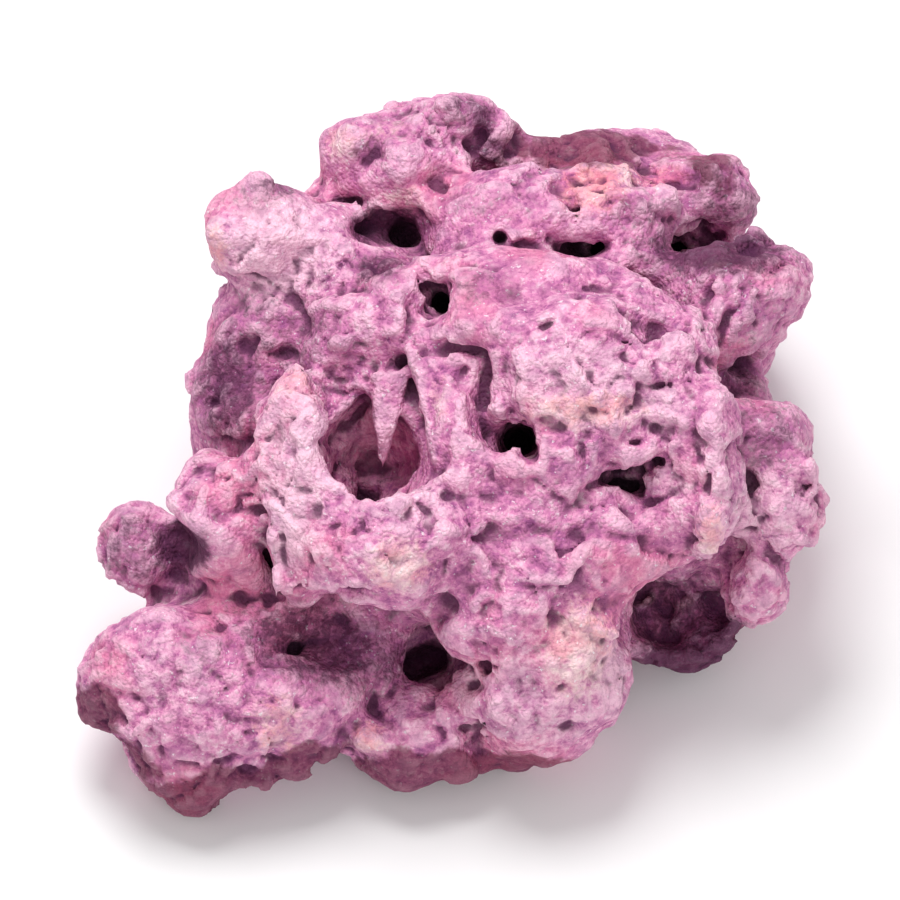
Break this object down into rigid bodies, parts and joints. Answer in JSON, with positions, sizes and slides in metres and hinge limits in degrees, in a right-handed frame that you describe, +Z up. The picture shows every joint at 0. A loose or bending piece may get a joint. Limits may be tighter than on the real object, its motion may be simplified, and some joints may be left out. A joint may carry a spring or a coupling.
{
  "type": "dry reef rock",
  "caption": "Loose piece of porous dry reef rock with rounded lobes, caves, tunnels and pits, purple and pink, resting on worn flat feet.",
  "frame": {"origin": "on the ground, under the middle of the rock's box", "axes": "+X to the right of the seen face, +Y to the back, +Z up; the seen face looks up and towards -Y"},
  "size_m": [0.25, 0.242, 0.138],
  "materials": {
    "reef_stone": "rough, dry and matt, purple to pink with paler tips"
  },
  "bodies": {
    "root": {"reef_rock": "reef_stone"}
  },
  "joints": []
}
